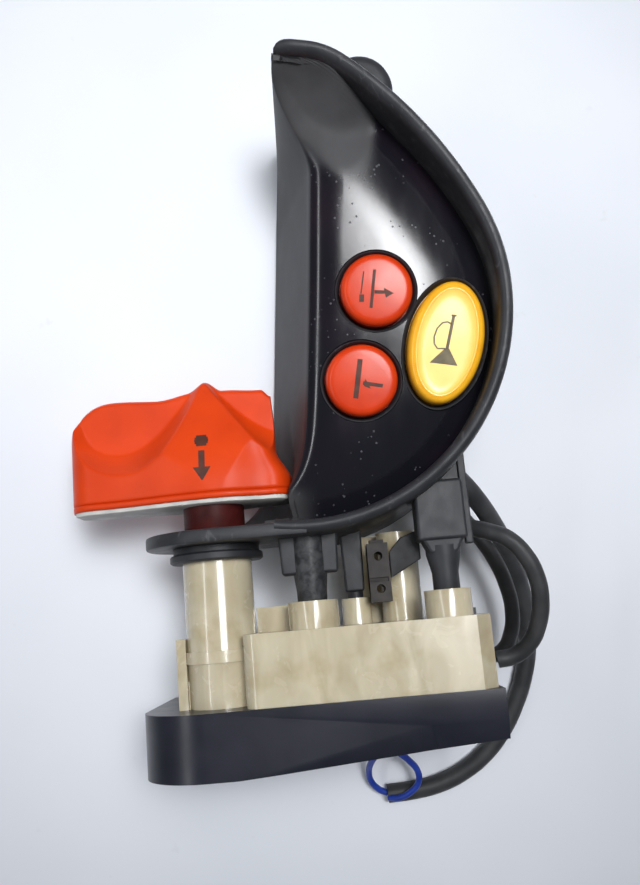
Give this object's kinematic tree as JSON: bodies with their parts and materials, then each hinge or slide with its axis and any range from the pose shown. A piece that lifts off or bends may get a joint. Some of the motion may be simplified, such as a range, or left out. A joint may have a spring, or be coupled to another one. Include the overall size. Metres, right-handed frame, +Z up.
{
  "type": "truck control head",
  "caption": "Tiller control head with a wing speed knob on a geared shaft, a D-shaped hood with push buttons, a bearing housing, a black base and loose leads.",
  "frame": {"origin": "bottom centre of the body's bounding box without its loose leads, as it lies on its back on a table", "axes": "+Z up, the way the buttons face; +Y from the base towards the knob and the hood's top; +X from the knob towards the buttons. The knob's shaft lies in the YZ plane, 11 degrees below +Y"},
  "size_m": [0.1484, 0.2467, 0.0721],
  "materials": {
    "hood_black": "polished black, matte on the side wall, scuffed lip",
    "base_black": "satin black",
    "cream_nylon": "pearly glass-filled nylon with flow streaks",
    "red_plastic": "satin red-orange",
    "yellow_plastic": "glossy amber with a pale middle",
    "dark_red": "satin dark red",
    "pale_grey": "plain",
    "black_rubber": "matt",
    "cord_grey": "matt charcoal sheath",
    "blue_wire": "satin",
    "steel": "ground",
    "zinc": "zinc plated",
    "bronze": "sintered",
    "board_green": "solder-masked board",
    "brown_plastic": "moulded phenolic",
    "dark_plastic": "moulded",
    "white_plastic": "natural acetal",
    "magnet_grey": "sintered ferrite"
  },
  "bodies": {
    "control_head": {"base_shell": "base_black", "base_plate": "zinc", "base_plate_screws": "steel", "wire_socket": "dark_plastic", "gear_pin": "steel", "mech_housing": "cream_nylon", "housing_back_cover": "cream_nylon", "back_cover_screws": "steel", "hood_screws": "steel", "lower_bush": "bronze", "upper_bush": "bronze", "shaft_collar": "black_rubber", "centring_spring": "steel", "sensor_board": "board_green", "hall_sensor": "dark_plastic", "terminal_block": "dark_plastic", "board_screws": "steel", "direction_switch": "brown_plastic", "switch_ribbon": "black_rubber", "side_strip": "brown_plastic", "cable_clip": "dark_plastic", "lead_grommet": "black_rubber", "strand_grommet": "black_rubber", "hood_shell": "hood_black", "hood_back_cover": "base_black", "hood_cover_screws": "steel", "hood_grommets": "black_rubber", "button_carrier": "board_green", "carrier_screws": "steel", "lift_bezel": "black_rubber", "lower_bezel": "black_rubber", "horn_bezel": "black_rubber", "lift_switch": "dark_plastic", "lower_switch": "dark_plastic", "horn_switch": "dark_plastic", "lift_spring": "steel", "lower_spring": "steel", "horn_spring": "steel", "button_lead": "cord_grey", "main_lead": "cord_grey", "strand_lead": "cord_grey", "blue_wire_long": "blue_wire", "blue_wire_short": "blue_wire"},
    "knob_rotor": {"wing_knob": "red_plastic", "knob_underplate": "pale_grey", "knob_stem": "dark_red", "knob_shaft": "steel", "knob_dowel": "steel", "drive_gear": "white_plastic", "shaft_circlip": "steel"},
    "sensor_rotor": {"sensor_gear": "white_plastic", "sensor_magnet": "magnet_grey"},
    "lift_button": {"lift_cap": "red_plastic"},
    "lift_contact": {"lift_plunger": "white_plastic"},
    "lower_button": {"lower_cap": "red_plastic"},
    "lower_contact": {"lower_plunger": "white_plastic"},
    "horn_button": {"horn_cap": "yellow_plastic"},
    "horn_contact": {"horn_plunger": "white_plastic"}
  },
  "joints": [
    {"name": "knob_turn", "type": "hinge", "parent": "control_head", "child": "knob_rotor", "pos_m": [-0.0254, -0.0425, 0.04055], "axis": [0, 0.9816, -0.1908], "range_deg": [-25, 25], "stiffness_Nm_per_rad": 0.35},
    {"name": "sensor_turn", "type": "hinge", "parent": "control_head", "child": "sensor_rotor", "pos_m": [-0.0044, -0.0906, 0.0499], "axis": [0, 0.9816, -0.1908], "range_deg": [-50.5, 50.5]},
    {"name": "lift_press", "type": "slide", "parent": "control_head", "child": "lift_button", "axis": [0, 0, -1], "range_m": [0, 0.0025], "stiffness_N_per_m": 900, "springref_m": -0.001, "deforming": ["lift_spring"]},
    {"name": "lift_contact_slide", "type": "slide", "parent": "control_head", "child": "lift_contact", "axis": [0, 0, -1], "range_m": [0, 0.0026]},
    {"name": "lower_press", "type": "slide", "parent": "control_head", "child": "lower_button", "axis": [0, 0, -1], "range_m": [0, 0.0025], "stiffness_N_per_m": 900, "springref_m": -0.001, "deforming": ["lower_spring"]},
    {"name": "lower_contact_slide", "type": "slide", "parent": "control_head", "child": "lower_contact", "axis": [0, 0, -1], "range_m": [0, 0.0026]},
    {"name": "horn_press", "type": "slide", "parent": "control_head", "child": "horn_button", "axis": [0, 0, -1], "range_m": [0, 0.0025], "stiffness_N_per_m": 900, "springref_m": -0.001, "deforming": ["horn_spring"]},
    {"name": "horn_contact_slide", "type": "slide", "parent": "control_head", "child": "horn_contact", "axis": [0, 0, -1], "range_m": [0, 0.0026]}
  ],
  "couplings": [
    {"joint": "sensor_turn", "follows": "knob_turn", "ratio": -2},
    {"joint": "lift_contact_slide", "follows": "lift_press", "ratio": 1},
    {"joint": "lower_contact_slide", "follows": "lower_press", "ratio": 1},
    {"joint": "horn_contact_slide", "follows": "horn_press", "ratio": 1}
  ]
}
